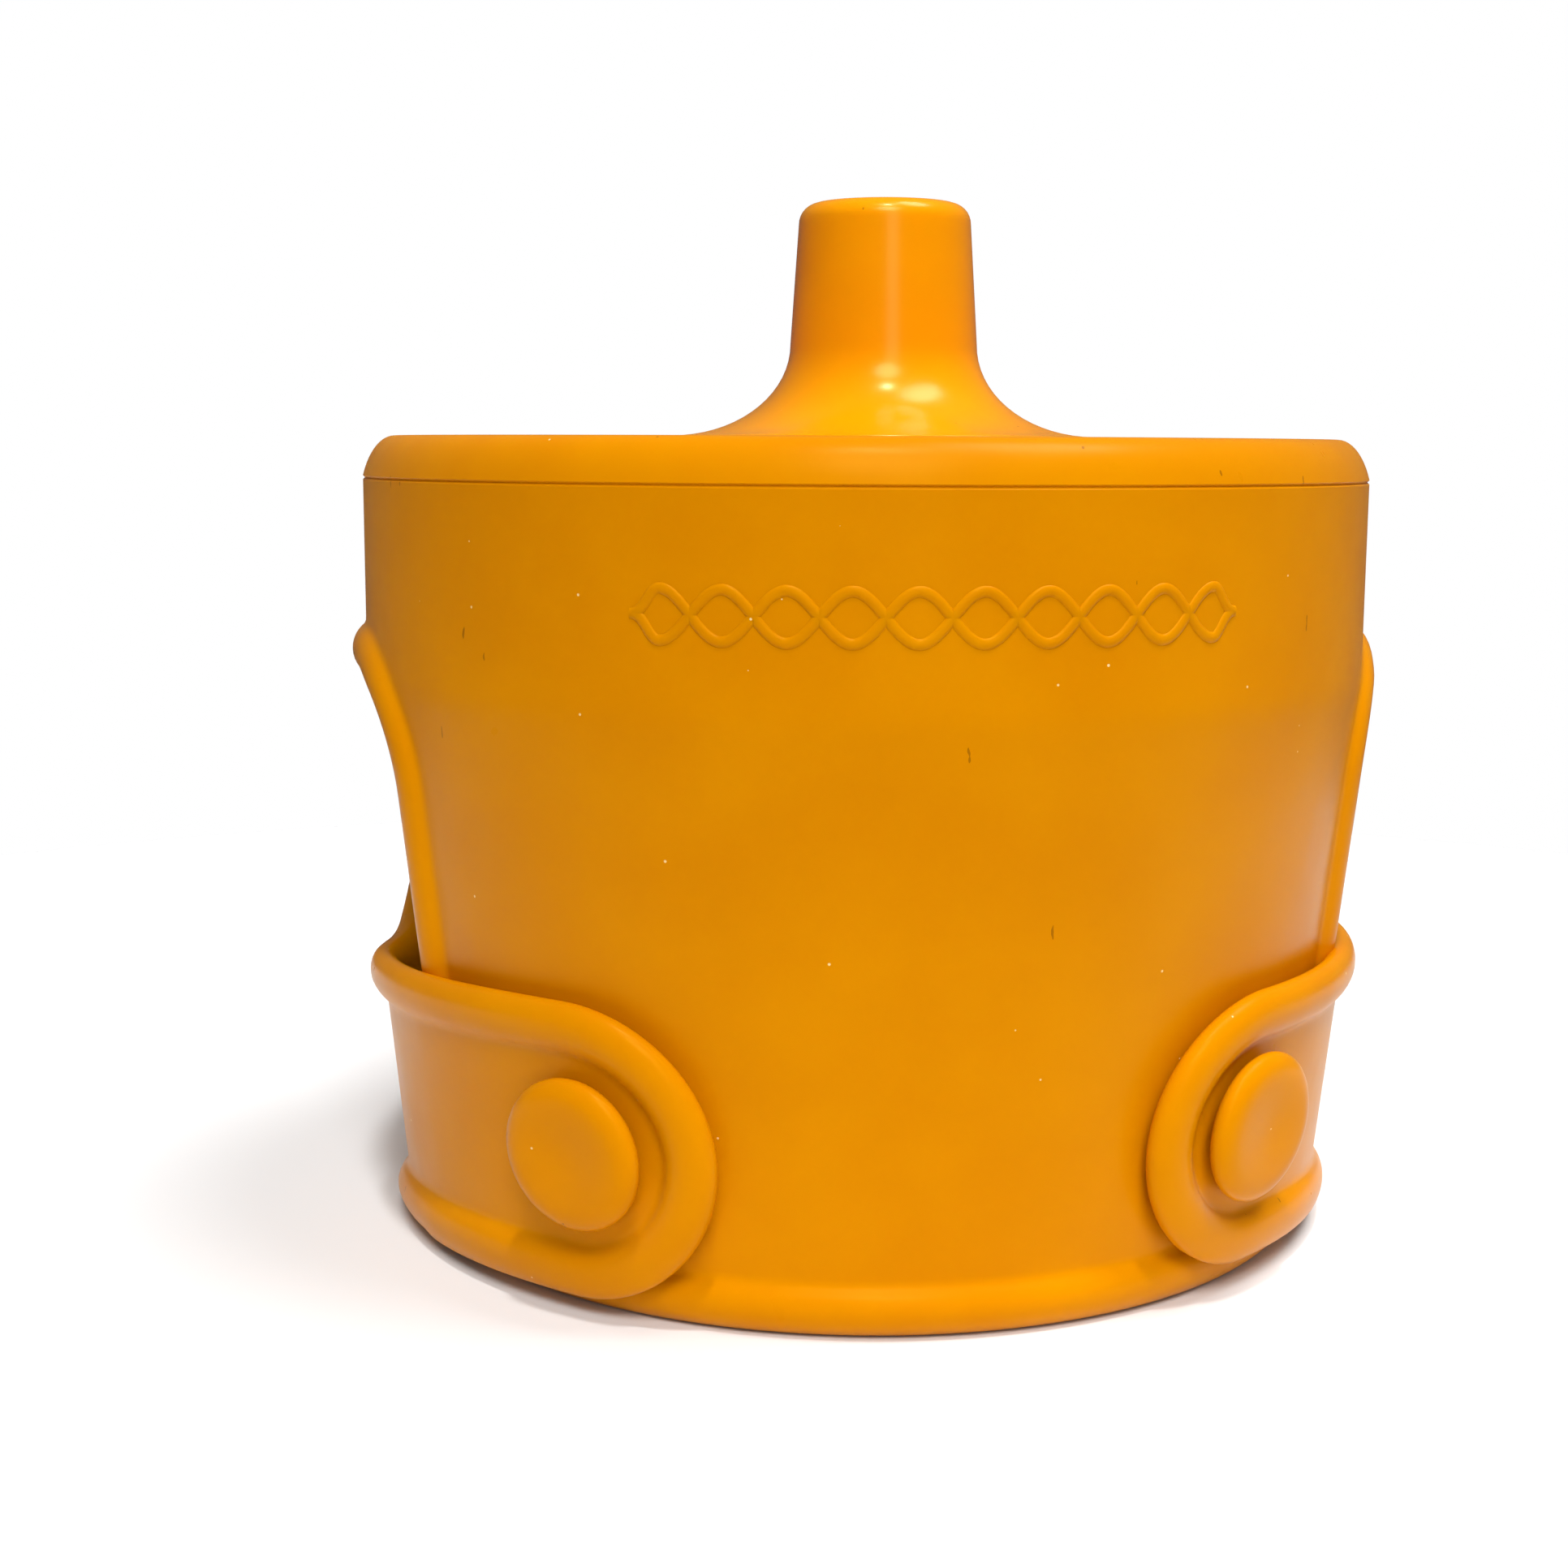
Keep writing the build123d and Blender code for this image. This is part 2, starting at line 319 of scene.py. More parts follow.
def bead_profile(cup):
    """Section of a bead on a sheet's edge as three arrays: distance across, share of the rise, and
    share of the sheet's thickness. A cove climbs from the wall, a low arc runs up to the crest, and a
    half ellipse turns round the free edge to the inside face."""
    half, cove = cup.bead_width / 2, cup.cove
    b = np.linspace(-BULGE, 0, PROFILE_STEPS)
    rise = (np.cos(b) - np.cos(BULGE)) / (1 - np.cos(BULGE))
    climb = [(-half - cove, 0.0), (-half - 0.45 * cove, 0.02), (-half - 0.05 * cove, 0.11)]
    across = [x for x, _ in climb] + list(half * np.sin(b[1:]) / np.sin(BULGE))
    up = [q for _, q in climb] + list(rise[1:])
    inside = [0.0] * len(up)
    turn_angle = np.linspace(0, PI, 2 * PROFILE_STEPS - 1)[1:]
    across += list(half * np.sin(turn_angle)) + [-half / 2, -half - cove]
    up += list((1 + np.cos(turn_angle)) / 2) + [0.0, 0.0]
    inside += list((1 - np.cos(turn_angle)) / 2) + [1.0, 1.0]
    return np.array(across), np.array(up), np.array(inside)


class Shell:
    """Collects patches of one closed surface and welds them into a mesh."""

    def __init__(self):
        self.points, self.faces, self.count = [], [], 0

    def grid(self, points, closed=False):
        """Adds a patch of quads from an array of rows by columns. A closed patch joins its last row
        to its first."""
        rows, columns = points.shape[:2]
        number = np.arange(rows * columns).reshape(rows, columns) + self.count
        if closed:
            number = np.concatenate([number, number[:1]])
        quads = np.stack([number[:-1, :-1], number[:-1, 1:], number[1:, 1:], number[1:, :-1]], -1)
        self.faces += quads.reshape(-1, 4).tolist()
        self.points.append(points.reshape(-1, 3))
        self.count += rows * columns

    def cap(self, points):
        """Adds one flat face round a closed outline."""
        self.faces.append(list(range(self.count, self.count + len(points))))
        self.points.append(points)
        self.count += len(points)

    def mirrored(self):
        """Adds the same faces again on the other side of the cup's middle plane."""
        points = np.concatenate(self.points) * (-1, 1, 1)
        self.faces += [[i + self.count for i in face] for face in self.faces]
        self.points.append(points)
        self.count *= 2

    def build(self, name, material, sharp=38):
        """Makes the welded, outward-facing mesh object, smooth except at sharp edges."""
        mesh = bpy.data.meshes.new(name)
        mesh.from_pydata(np.concatenate(self.points), [], self.faces)
        work = bmesh.new()
        work.from_mesh(mesh)
        bmesh.ops.remove_doubles(work, verts=work.verts, dist=WELD)
        bmesh.ops.dissolve_degenerate(work, edges=work.edges, dist=SLIVER)
        bmesh.ops.recalc_face_normals(work, faces=work.faces)
        work.to_mesh(mesh)
        open_edges = sum(not edge.is_manifold for edge in work.edges)
        work.free()
        if open_edges:
            raise RuntimeError(f"{name} is not closed: {open_edges} open edges")
        mesh.shade_smooth()
        mesh.set_sharp_from_angle(angle=np.radians(sharp))
        mesh.materials.append(material)
        piece = bpy.data.objects.new(name, mesh)
        bpy.context.collection.objects.link(piece)
        return piece


def ribbon(cup, path, index, lifts, rise):
    """A bead's surface along part of a path: rows follow the path, columns the section.
    lifts gives the outside and inside lift of the sheet at an angle and height."""
    across, up, inside = bead_profile(cup)
    where = path.beside(cup, across[:, None], index).transpose(1, 0, 2)
    outer, inner = lifts(where[..., 0], where[..., 1])
    high = np.broadcast_to(rise, (where.shape[0],))[:, None]
    lift = outer + high * up - (outer - inner) * inside
    return on_wall(cup, where[..., 0], where[..., 1], lift)


def between(low, high, count):
    """Rows of points evenly between two matching lines of points."""
    t = np.linspace(0, 1, count).reshape(-1, *[1] * low.ndim)
    return low + (high - low) * t


def patch(bottom, top, left, right):
    """Four-sided patch filled evenly between its boundary lines: the sum of the two straight
    fillings less the one between the corners. Rows run from bottom to top."""
    u = np.linspace(0, 1, len(bottom))[None, :, None]
    v = np.linspace(0, 1, len(left))[:, None, None]
    upright = bottom[None] * (1 - v) + top[None] * v
    level = left[:, None] * (1 - u) + right[:, None] * u
    corners = (bottom[0] * (1 - u) + bottom[-1] * u) * (1 - v) + (top[0] * (1 - u) + top[-1] * u) * v
    return upright + level - corners


def node(tree, kind, settings=(), links=()):
    """Adds a node, sets its properties and inputs from a dict, and links (input, socket) pairs to it."""
    made = tree.nodes.new(kind)
    for key, value in dict(settings).items():
        if isinstance(key, str) and hasattr(made, key):
            setattr(made, key, value)
        else:
            made.inputs[key].default_value = value
    for key, socket in dict(links).items():
        tree.links.new(socket, made.inputs[key])
    return made


def moulded_silicone(name, colour, deep, finish, roughness, shine, coat):
    """Moulded silicone rubber: an even satin skin with soft cloudy pigment, the faint grain of the
    mould, and dust and lint clinging to it."""
    material = bpy.data.materials.new(name)
    material.use_nodes = True
    tree = material.node_tree
    shader = tree.nodes["Principled BSDF"]
    where = node(tree, "ShaderNodeTexCoord").outputs["Object"]
    per_metre = 1 / MM

    # Pigment clouds 9 mm across.
    cloud = node(tree, "ShaderNodeTexNoise", {"Scale": per_metre / 9, "Detail": 3.0}, {"Vector": where})
    cloudy = node(
        tree,
        "ShaderNodeMapRange",
        {"From Min": 0.35, "From Max": 0.65, "To Min": 0.0, "To Max": 1.0},
        {"Value": cloud.outputs["Fac"]},
    )
    pigment = node(
        tree,
        "ShaderNodeMix",
        {"data_type": "RGBA", 6: colour, 7: deep},
        {0: cloudy.outputs["Result"]},
    )

    # Pale dust specks about 0.15 mm across, drawn only in a few of the 1.6 mm cells.
    cells = node(tree, "ShaderNodeTexVoronoi", {"Scale": per_metre / 1.6}, {"Vector": where})
    near = node(
        tree, "ShaderNodeMath", {"operation": "LESS_THAN", 1: 0.055}, {0: cells.outputs["Distance"]}
    )
    parts = node(tree, "ShaderNodeSeparateColor", links={"Color": cells.outputs["Color"]})
    chosen = node(
        tree, "ShaderNodeMath", {"operation": "GREATER_THAN", 1: 0.86}, {0: parts.outputs["Red"]}
    )
    speck = node(
        tree,
        "ShaderNodeMath",
        {"operation": "MULTIPLY"},
        {0: near.outputs["Value"], 1: chosen.outputs["Value"]},
    )
    faint = node(tree, "ShaderNodeMath", {"operation": "MULTIPLY", 1: 0.6}, {0: speck.outputs["Value"]})
    dusty = node(
        tree,
        "ShaderNodeMix",
        {"data_type": "RGBA", 7: finish.dust},
        {0: faint.outputs["Value"], 6: pigment.outputs[2]},
    )
    # Dark lint in dashes about 0.1 by 0.9 mm, bent by a 1 mm wobble, in a few of the cells.
    wobble = node(tree, "ShaderNodeTexNoise", {"Scale": per_metre / 1.1}, {"Vector": where})
    bent = node(
        tree,
        "ShaderNodeVectorMath",
        {"operation": "MULTIPLY_ADD", 1: (0.5 * MM,) * 3},
        {0: wobble.outputs["Color"], 2: where},
    )
    stretch = node(
        tree,
        "ShaderNodeMapping",
        {"Rotation": (0.4, 0.5, 0.3), "Scale": (per_metre / 1.2, per_metre / 1.2, per_metre / 6.0)},
        {"Vector": bent.outputs["Vector"]},
    )
    strands = node(tree, "ShaderNodeTexVoronoi", {"Scale": 1.0}, {"Vector": stretch.outputs["Vector"]})
    close = node(
        tree, "ShaderNodeMath", {"operation": "LESS_THAN", 1: 0.085}, {0: strands.outputs["Distance"]}
    )
    hue = node(tree, "ShaderNodeSeparateColor", links={"Color": strands.outputs["Color"]})
    rare = node(tree, "ShaderNodeMath", {"operation": "GREATER_THAN", 1: 0.9}, {0: hue.outputs["Green"]})
    strand = node(
        tree,
        "ShaderNodeMath",
        {"operation": "MULTIPLY"},
        {0: close.outputs["Value"], 1: rare.outputs["Value"]},
    )
    soft = node(tree, "ShaderNodeMath", {"operation": "MULTIPLY", 1: 0.55}, {0: strand.outputs["Value"]})
    linty = node(
        tree,
        "ShaderNodeMix",
        {"data_type": "RGBA", 7: finish.lint},
        {0: soft.outputs["Value"], 6: dusty.outputs[2]},
    )
    tree.links.new(linty.outputs[2], shader.inputs["Base Color"])

    # Satin that changes a little over 4 mm patches, where it has been handled.
    handled = node(tree, "ShaderNodeTexNoise", {"Scale": per_metre / 4, "Detail": 4.0}, {"Vector": where})
    satin = node(
        tree,
        "ShaderNodeMapRange",
        {"To Min": roughness - 0.06, "To Max": roughness + 0.06},
        {"Value": handled.outputs["Fac"]},
    )
    tree.links.new(satin.outputs["Result"], shader.inputs["Roughness"])

    # Mould grain 0.22 mm across, and the soft unevenness of the skin over 5 mm.
    grain = node(
        tree, "ShaderNodeTexNoise", {"Scale": per_metre / 0.22, "Detail": 2.0}, {"Vector": where}
    )
    uneven = node(tree, "ShaderNodeTexNoise", {"Scale": per_metre / 5, "Detail": 1.0}, {"Vector": where})
    waves = node(
        tree,
        "ShaderNodeBump",
        {"Strength": 0.25, "Distance": 0.25 * MM},
        {"Height": uneven.outputs["Fac"]},
    )
    skin = node(
        tree,
        "ShaderNodeBump",
        {"Strength": 0.12, "Distance": 0.03 * MM},
        {"Height": grain.outputs["Fac"], "Normal": waves.outputs["Normal"]},
    )
    tree.links.new(skin.outputs["Normal"], shader.inputs["Normal"])

    shader.inputs["IOR"].default_value = 1.41
    shader.inputs["Specular IOR Level"].default_value = shine
    shader.inputs["Specular Tint"].default_value = linear("ffc850")
    shader.inputs["Subsurface Weight"].default_value = 0.1
    shader.inputs["Subsurface Radius"].default_value = (1.0, 0.3, 0.02)
    shader.inputs["Subsurface Scale"].default_value = 1.2 * MM
    shader.inputs["Coat Weight"].default_value = coat
    shader.inputs["Coat Roughness"].default_value = 0.2
    shader.inputs["Coat Tint"].default_value = linear("ffd060")
    return material


def silicone(which):
    """The one silicone of that name, made when it is first asked for."""
    names = {
        "cup": "moulded_silicone_cup",
        "strap": "moulded_silicone_strap",
        "nozzle": "moulded_silicone_nozzle",
    }
    made = bpy.data.materials.get(names[which])
    if made:
        return made
    finish = bpy.context.scene.holder_cap_finish
    colour, deep = getattr(finish, f"{which}_colour"), getattr(finish, f"{which}_deep")
    glossy = which == "nozzle"
    roughness = finish.nozzle_roughness if glossy else finish.cup_roughness
    shine, coat = (0.4, 0.15) if glossy else (0.14, 0.0)
    return moulded_silicone(names[which], colour, deep, finish, roughness, shine, coat)


def side_path(side):
    """The bead's middle line on one side: 1 for the right, -1 for the left."""
    cup, strap = bpy.context.scene.holder_cap_cup, bpy.context.scene.holder_cap_strap
    if side > 0:
        return SidePath(cup, strap, strap.right_low, strap.right_high, strap.right_tip, strap.right_pull)
    return SidePath(cup, strap, strap.left_low, strap.left_high, strap.left_tip, strap.left_pull)


class HOLDERCAP_OT_cup(bpy.types.Operator):
    """Make the cup: crown, ring, front apron and back tongue in one closed shell with rolled beads"""

    bl_idname = "holder_cap.cup"
    bl_label = "Cup"

    def execute(self, context):
        cup, strap = context.scene.holder_cap_cup, context.scene.holder_cap_strap
        nozzle = context.scene.holder_cap_nozzle
        path = side_path(1)
        foot = -cup.bead_width / 2 - cup.cove
        feet = path.beside(cup, foot)
        end = len(feet) - 1
        shell = Shell()

        def flat(angle, z):
            """Lift of the cup's wall: none outside, one wall inside."""
            return 0 * angle, 0 * angle - cup.wall

        def both(grid):
            """Adds a patch given as angle and height, on the wall's outside and its inside."""
            for lift in (0.0, -cup.wall):
                shell.grid(on_wall(cup, grid[..., 0], grid[..., 1], lift))

        # Front apron, half of it.
        side = feet[path.apron_mid : path.front_mid + 1]
        bottom = feet[: path.apron_mid + 1]
        share_up = (side[:, 1] - side[0, 1]) / (side[-1, 1] - side[0, 1])
        middle = np.stack([0 * side[:, 0], bottom[0, 1] + share_up * (side[-1, 1] - bottom[0, 1])], -1)
        front_top = between(middle[-1], side[-1], len(bottom))
        both(patch(bottom, front_top, middle, side))

        # Back tongue, half of it, from the back middle out to the seams and the window's edge.
        seam = between(feet[path.seam_low], feet[path.seam_top], FLOOR_ROWS)
        side = np.concatenate([seam, feet[path.back_mid : path.seam_top][::-1]])
        bottom = feet[path.seam_low :][::-1]
        middle = np.stack([0 * side[:, 0] + PI, side[:, 1]], -1)
        back_top = between(middle[-1], side[-1], len(bottom))
        both(patch(bottom, back_top, middle, side))
        shell.grid(np.stack([on_wall(cup, seam[:, 0], seam[:, 1], lift) for lift in (0.0, -cup.wall)]))

        # Ring, half of it, up to where the crown's section takes over.
        crown_section = 6.4 * MM
        ring_top = cup.height - crown_section
        low = np.concatenate([front_top, feet[path.front_mid + 1 : path.back_mid], back_top[::-1]])
        high = np.stack([low[:, 0], 0 * low[:, 0] + ring_top], -1)
        both(between(low, high, RING_ROWS))

        # Beads: rim front to the seam, and the rim's back. The apron's bead lies flat under the strap.
        first = slice(0, path.seam_top + 1)
        z, angle = path.points[first, 1], path.points[first, 0]
        strap_top, strap_fade = 19.4 * MM, 2.2 * MM
        strap_front, front_fade = 0.93, 0.1  # angles from the front
        flattened = 0.85  # share of the bead's rise that is lost
        under = smooth((strap_top - z) / strap_fade)
        under *= smooth((angle - strap_front) / front_fade) * (angle < PI / 2)
        beads = [
            ribbon(cup, path, first, flat, cup.bead_rise * (1 - flattened * under)),
            ribbon(cup, path, slice(path.seam_low, end + 1), flat, cup.bead_rise),
        ]
        for bead in beads:
            shell.grid(bead)
        shell.cap(beads[0][-1])
        shell.cap(beads[1][0])
        shell.mirrored()

        # Crown: its section turned round the axis, its centre sliding over to the nozzle's hole.
        columns = np.concatenate([low[:, 0], -low[::-1][1:-1, 0]])
        crease = np.radians(27)  # how far round its ellipse the crown's rounding starts
        corner = 1.0 * MM  # rounding of the corner inside, under the crown
        a = np.linspace(crease, PI / 2, 12)
        reach = cup.edge_reach * np.cos(a) / np.cos(crease)
        rise = cup.edge_depth * (np.sin(a) - np.sin(crease)) / (1 - np.sin(crease))
        edge = cup.ring_radius - cup.edge_reach
        inside = cup.ring_radius - cup.wall
        under_crown = cup.height - cup.crown
        hole = nozzle.neck_radius
        # A fine groove marks where the crown's rounding starts.
        start = cup.height - cup.edge_depth
        section = [(cup.ring_radius, z) for z in np.linspace(ring_top, start - 2 * cup.groove, 4)]
        section += [(cup.ring_radius - cup.groove, start - cup.groove)]
        section += list(zip(edge + reach, start + rise))
        section += [(r, cup.height) for r in np.linspace(edge, hole, 14)[1:]]
        section += [(r, under_crown) for r in np.linspace(hole, inside - corner, 14)]
        section += [
            (inside - corner + corner * np.sin(b), under_crown - corner + corner * np.cos(b))
            for b in np.linspace(0, PI / 2, 6)[1:]
        ]
        section += [(inside, ring_top)]
        radius, height = np.array(section).T
        shift = nozzle.offset * smooth((edge - radius) / (edge - hole))
        angle = columns[:, None]
        crown = np.stack(
            [shift + radius * np.sin(angle), -radius * np.cos(angle), height + 0 * angle], -1
        )
        shell.grid(crown, closed=True)

        piece = shell.build("cup_shell", silicone("cup"))
        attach(piece, "cup")
        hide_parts("cup_body")
        return {"FINISHED"}


def turned(section, centre, axis, steps):
    """Points of a section (radius, height) turned round an axis through a centre."""
    frame_of_axis = Vector(axis).to_track_quat("Z", "Y").to_matrix()
    radius, height = np.array(section).T
    a = np.linspace(0, 2 * PI, steps, endpoint=False)[:, None]
    local = np.stack([radius * np.cos(a), radius * np.sin(a), height + 0 * a], -1)
    return local @ np.array(frame_of_axis).T + np.array(centre)


class HOLDERCAP_OT_nozzle(bpy.types.Operator):
    """Make the hollow nozzle with its flare on the crown and its flange inside"""

    bl_idname = "holder_cap.nozzle"
    bl_label = "Nozzle"

    def execute(self, context):
        cup, size_of = context.scene.holder_cap_cup, context.scene.holder_cap_nozzle
        lip, neck_play, groove = 0.12 * MM, 0.05 * MM, 0.3 * MM
        edge, mouth = 0.4 * MM, 0.5 * MM  # roundings of the flange and of the bore's mouth
        crown, under = cup.height, cup.height - cup.crown
        flare_top = crown + lip + size_of.flare
        lip_edge = size_of.stem_radius + size_of.flare_reach
        bore = size_of.stem_radius - size_of.wall
        roof = size_of.top - size_of.wall
        bevel_down, bevel_in = 1.0 * MM, 0.8 * MM  # where the bore meets its roof
        r = size_of.rounding
        tip = size_of.tip_radius
        section = [(x, size_of.top) for x in np.linspace(0, tip - r, 6)]
        section += [
            (tip - r + r * np.sin(a), size_of.top - r + r * np.cos(a))
            for a in np.linspace(0, PI / 2, 9)[1:]
        ]
        section += [
            (tip + (size_of.stem_radius - tip) * t, size_of.top - r + (flare_top - size_of.top + r) * t)
            for t in np.linspace(0, 1, 12)[1:]
        ]
        section += [
            (lip_edge - size_of.flare_reach * np.cos(a), flare_top - size_of.flare * np.sin(a))
            for a in np.linspace(0, PI / 2, 18)[1:]
        ]
        section += [
            (lip_edge + 0.1 * MM, crown - SEAL),
            (size_of.neck_radius, crown - SEAL),
            (size_of.neck_radius - neck_play, crown - groove),
            (size_of.neck_radius - neck_play, under),
            (size_of.flange_radius - edge, under),
            (size_of.flange_radius, under - edge),
            (size_of.flange_radius, under - size_of.flange + edge),
            (size_of.flange_radius - edge, under - size_of.flange),
            (bore + mouth, under - size_of.flange),
            (bore, under - size_of.flange + mouth),
        ]
        section += [
            (bore + (tip - size_of.wall - bore) * t, under + (roof - bevel_down - under) * t)
            for t in np.linspace(0, 1, 8)
        ]
        section += [(tip - size_of.wall - bevel_in, roof), (0, roof)]
        shell = Shell()
        shell.grid(turned(section, (size_of.offset, 0, 0), (0, 0, 1), 96), closed=True)
        piece = shell.build("spout_nozzle", silicone("nozzle"))
        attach(piece, "cup")
        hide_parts("nozzle")
        return {"FINISHED"}


class HOLDERCAP_OT_studs(bpy.types.Operator):
    """Make the two mushroom studs that the strap arms button onto"""

    bl_idname = "holder_cap.studs"
    bl_label = "Studs"

    def execute(self, context):
        cup, strap = context.scene.holder_cap_cup, context.scene.holder_cap_strap
        under = 2 * strap.gap + strap.thickness
        lean = np.arctan((cup.ring_radius - cup.rim_radius) / cup.window_top)
        head, shank = strap.head_radius, strap.shank_radius
        top, dish = strap.head_top, 0.22 * MM
        r, roll = (top - under) / 2, 1.5 * MM
        flat = head - roll
        section = [(x, top - dish * (1 - smooth(x / flat))) for x in np.linspace(0, flat, 9)]
        section += [
            (flat + roll * np.sin(a), top - r + r * np.cos(a))
            for a in np.linspace(0, PI, 17)[1:]
        ]
        fillet, flange, flange_depth, bevel = 0.4 * MM, 4.2 * MM, 1.0 * MM, 0.3 * MM
        section += [
            (shank + fillet, under),
            (shank, under - fillet),
            (shank, -cup.wall),
            (flange, -cup.wall - SEAL),
            (flange, -cup.wall - flange_depth + bevel),
            (flange - bevel, -cup.wall - flange_depth),
            (0, -cup.wall - flange_depth),
        ]
        for side, name, height in ((-1, "left", strap.left_stud), (1, "right", strap.right_stud)):
            a = side * strap.stud_angle
            axis = (np.sin(a) * np.cos(lean), -np.cos(a) * np.cos(lean), -np.sin(lean))
            centre = on_wall(cup, np.array(a), np.array(height), 0.0)
            shell = Shell()
            shell.grid(turned(section, centre, axis, 72), closed=True)
            piece = shell.build(f"button_stud_{name}", silicone("cup"), 50)
            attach(piece, "cup")
            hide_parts(f"stud_{name}")
        return {"FINISHED"}


class HOLDERCAP_OT_arms(bpy.types.Operator):
    """Make the two strap arms, each a beaded band that ends in a round lobe with an eyelet"""

    bl_idname = "holder_cap.arms"
    bl_label = "Strap arms"

    def arm(self, cup, strap, side, name):
        """One arm: the band's floor, the lobe round its eyelet, and the bead all round."""
        path = side_path(side)
        seam_angle = path.points[path.seam_top, 0]
        climb = strap.climb / cup.rim_radius
        outside = strap.gap + strap.thickness
        rim_clear = cup.bead_width + 0.6 * MM
        apron_edge = PI / 2 - cup.window_side / cup.rim_radius
        rim_fade, rim_air = 0.8 * MM, 0.1 * MM
        edge_fade = 0.05  # angle

        def lifts(angle, z):
            """Outside and inside lift: the wall's own at the seam, clear of the apron past its edge,
            and over the rim's bead along the bottom."""
            t = smooth((seam_angle - angle) / climb)
            over_rim = smooth((rim_clear - z) / rim_fade)
            over_rim *= smooth((apron_edge + edge_fade - angle) / edge_fade)
            inner = -cup.wall + (cup.wall + strap.gap) * t
            return outside * t, inner + (cup.bead_rise - strap.gap + rim_air) * over_rim

        def both(grid):
            """Adds a patch given as angle and height, on the arm's outside and its inside."""
            for lift in lifts(grid[..., 0], grid[..., 1]):
                shell.grid(on_wall(cup, grid[..., 0], grid[..., 1], lift))

        shell = Shell()
        span = slice(path.seam_top, path.seam_low + 1)
        bead = ribbon(cup, path, span, lifts, cup.bead_rise)
        shell.grid(bead)
        shell.cap(bead[0])
        shell.cap(bead[-1])

        feet = path.beside(cup, -cup.bead_width / 2 - cup.cove)
        run = path.lobe_start - path.seam_top
        straight = int(run * 0.8)  # where the band's floor ends and the lobe's begins
        top = feet[path.seam_top : path.seam_top + straight + 1]
        low = feet[path.seam_low - straight : path.seam_low + 1][::-1]
        band = between(low, top, FLOOR_ROWS)
        both(band)
        seam = band[:, 0]
        closing = [on_wall(cup, *seam.T, lift) for lift in lifts(*seam.T)]
        shell.grid(np.stack(closing))

        # The lobe's floor: rings from its outline in to the eyelet.
        around = feet[path.seam_top + straight : path.seam_low - straight + 1]
        outline = np.concatenate([around, band[1:-1, -1]])
        stud_height = strap.right_stud if side > 0 else strap.left_stud
        eyelet = np.array([strap.stud_angle, stud_height])
        radius = wall_radius(cup, stud_height)
        away = (outline - eyelet) * (radius, 1)
        circle = strap.eyelet_radius * away / np.linalg.norm(away, axis=1)[:, None]
        hole = eyelet + circle / (radius, 1)
        rings = between(hole, outline, RING_ROWS).transpose(1, 0, 2)
        for lift in lifts(rings[..., 0], rings[..., 1]):
            shell.grid(on_wall(cup, rings[..., 0], rings[..., 1], lift), closed=True)
        wall = [on_wall(cup, *hole.T, lift) for lift in lifts(*hole.T)]
        shell.grid(np.stack(wall, 1), closed=True)

        if side < 0:
            shell.points = [points * (-1, 1, 1) for points in shell.points]
        piece = shell.build(f"strap_band_{name}", silicone("strap"), 50)
        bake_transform(piece)
        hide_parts(f"strap_arm_{name}")

    def execute(self, context):
        cup, strap = context.scene.holder_cap_cup, context.scene.holder_cap_strap
        for side, name in ((-1, "left"), (1, "right")):
            self.arm(cup, strap, side, name)
        return {"FINISHED"}


class HOLDERCAP_OT_relief(bpy.types.Operator):
    """Make the low moulded wave on the front of the ring"""

    bl_idname = "holder_cap.relief"
    bl_label = "Wave relief"

    def execute(self, context):
        cup = context.scene.holder_cap_cup
        reach, middle, rise = np.radians(31), 44.2 * MM, 0.16 * MM
        half_width, height, waves = 0.35 * MM, 1.5 * MM, 5
        fade = 0.05  # angle over which a strand's waves rise from its ends
        short = 0.004  # angle by which the second strand stops short
        sunk, root = 0.03 * MM, 0.1 * MM  # how deep its edges and its underside lie in the wall
        shell = Shell()
        # One strand stops a little short, so that the two don't share their ends.
        for shift, end in ((0.0, reach), (PI, reach - short)):
            a = np.linspace(-end, end, 420)
            swing = np.sin(a / reach * waves * PI + shift) * smooth((reach - abs(a)) / fade)
            z = middle + height * swing
            run = np.stack([a * cup.ring_radius, z], -1)
            tangent = np.gradient(run, axis=0)
            tangent /= np.linalg.norm(tangent, axis=1)[:, None]
            turn_angle = np.linspace(0, PI, 7)
            across = half_width * np.cos(turn_angle)
            lift = rise * np.sin(turn_angle) - sunk
            sideways = np.stack([-tangent[:, 1], tangent[:, 0]], -1)
            offset = across[None, :, None] * sideways[:, None]
            where = run[:, None] + offset
            top = on_wall(cup, where[..., 0] / cup.ring_radius, where[..., 1], lift[None])
            base = on_wall(cup, where[..., 0] / cup.ring_radius, where[..., 1], -root)
            loop = np.concatenate([top, base[:, ::-1], top[:, :1]], 1)
            shell.grid(loop)
            shell.cap(loop[0, :-1])
            shell.cap(loop[-1, :-1])
        piece = shell.build("ring_wave_relief", silicone("cup"), 60)
        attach(piece, "cup")
        return {"FINISHED"}


